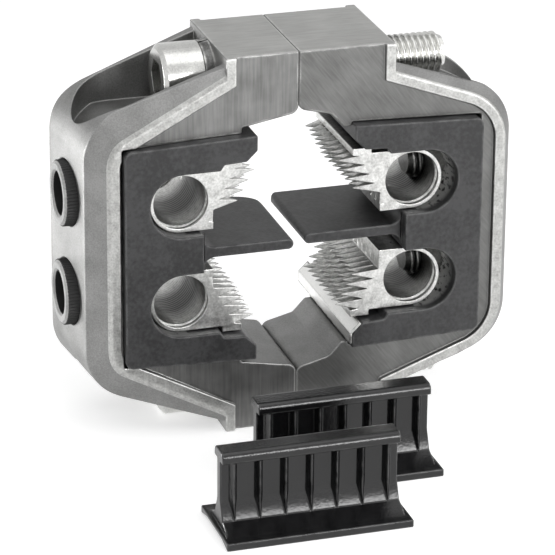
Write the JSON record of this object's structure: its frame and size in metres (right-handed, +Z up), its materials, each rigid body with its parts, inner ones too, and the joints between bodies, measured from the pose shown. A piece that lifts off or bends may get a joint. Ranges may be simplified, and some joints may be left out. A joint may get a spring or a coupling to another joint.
{
  "type": "branch clamp",
  "caption": "Two-part aluminium clamp that taps round branch conductors off a main cable, with toothed contacts, insulating inserts and loose separators.",
  "frame": {"origin": "at floor level, under the middle of the box round the clamp and its two loose separators", "axes": "+X from the left half to the right half, along the clamp screws; +Y deeper, along the cable; +Z up"},
  "size_m": [0.109, 0.0998, 0.094],
  "materials": {
    "cast_aluminium": "as cast, fine shot-blasted",
    "black_moulding": "moulded, satin",
    "tinned_contact": "tin plated, machined",
    "zinc_steel": "zinc plated",
    "strip_metal": "satin sheet"
  },
  "bodies": {
    "left_half": {"left_half_shell": "cast_aluminium", "left_insulating_insert": "black_moulding", "upper_left_insulating_sleeve": "black_moulding", "lower_left_insulating_sleeve": "black_moulding", "top_lock_washer": "zinc_steel", "bottom_lock_washer": "zinc_steel", "front_separator_insert": "black_moulding", "rear_separator_insert": "black_moulding"},
    "right_half": {"right_half_shell": "cast_aluminium", "right_insulating_insert": "black_moulding", "upper_right_insulating_sleeve": "black_moulding", "lower_right_insulating_sleeve": "black_moulding", "marking_strip": "strip_metal"},
    "top_clamp_screw": {"top_clamp_screw": "zinc_steel"},
    "bottom_clamp_screw": {"bottom_clamp_screw": "zinc_steel"},
    "upper_left_contact": {"upper_left_contact_block": "tinned_contact"},
    "upper_left_branch_screw": {"upper_left_branch_screw": "zinc_steel"},
    "lower_left_contact": {"lower_left_contact_block": "tinned_contact"},
    "lower_left_branch_screw": {"lower_left_branch_screw": "zinc_steel"},
    "upper_right_contact": {"upper_right_contact_block": "tinned_contact"},
    "upper_right_branch_screw": {"upper_right_branch_screw": "zinc_steel"},
    "lower_right_contact": {"lower_right_contact_block": "tinned_contact"},
    "lower_right_branch_screw": {"lower_right_branch_screw": "zinc_steel"}
  },
  "joints": [
    {"name": "right_half_slide", "type": "slide", "parent": "left_half", "child": "right_half", "axis": [1, 0, 0], "range_m": [0, 0.02]},
    {"name": "top_clamp_screw_turn", "type": "hinge", "parent": "left_half", "child": "top_clamp_screw", "pos_m": [-0.02035, 0.02605, 0.0857], "axis": [1, 0, 0], "range_deg": [-4800, 0]},
    {"name": "bottom_clamp_screw_turn", "type": "hinge", "parent": "left_half", "child": "bottom_clamp_screw", "pos_m": [-0.02035, 0.02605, 0.0083], "axis": [1, 0, 0], "range_deg": [-4800, 0]},
    {"name": "upper_left_contact_slide", "type": "slide", "parent": "left_half", "child": "upper_left_contact", "axis": [1, 0, 0], "range_m": [0, 0.00265]},
    {"name": "upper_left_branch_screw_advance", "type": "slide", "parent": "upper_left_contact", "child": "upper_left_branch_screw", "axis": [1, 0, 0], "range_m": [0, 0.009]},
    {"name": "lower_left_contact_slide", "type": "slide", "parent": "left_half", "child": "lower_left_contact", "axis": [1, 0, 0], "range_m": [0, 0.00265]},
    {"name": "lower_left_branch_screw_advance", "type": "slide", "parent": "lower_left_contact", "child": "lower_left_branch_screw", "axis": [1, 0, 0], "range_m": [0, 0.009]},
    {"name": "upper_right_contact_slide", "type": "slide", "parent": "right_half", "child": "upper_right_contact", "axis": [1, 0, 0], "range_m": [0, 0.00265]},
    {"name": "upper_right_branch_screw_advance", "type": "slide", "parent": "upper_right_contact", "child": "upper_right_branch_screw", "axis": [-1, 0, 0], "range_m": [-0.0039, 0.0051]},
    {"name": "lower_right_contact_slide", "type": "slide", "parent": "right_half", "child": "lower_right_contact", "axis": [1, 0, 0], "range_m": [0, 0.00265]},
    {"name": "lower_right_branch_screw_advance", "type": "slide", "parent": "lower_right_contact", "child": "lower_right_branch_screw", "axis": [-1, 0, 0], "range_m": [-0.0039, 0.0051]}
  ],
  "couplings": [
    {"joint": "top_clamp_screw_turn", "follows": "right_half_slide", "rad_per_m": -4188.8},
    {"joint": "bottom_clamp_screw_turn", "follows": "right_half_slide", "rad_per_m": -4188.8}
  ]
}
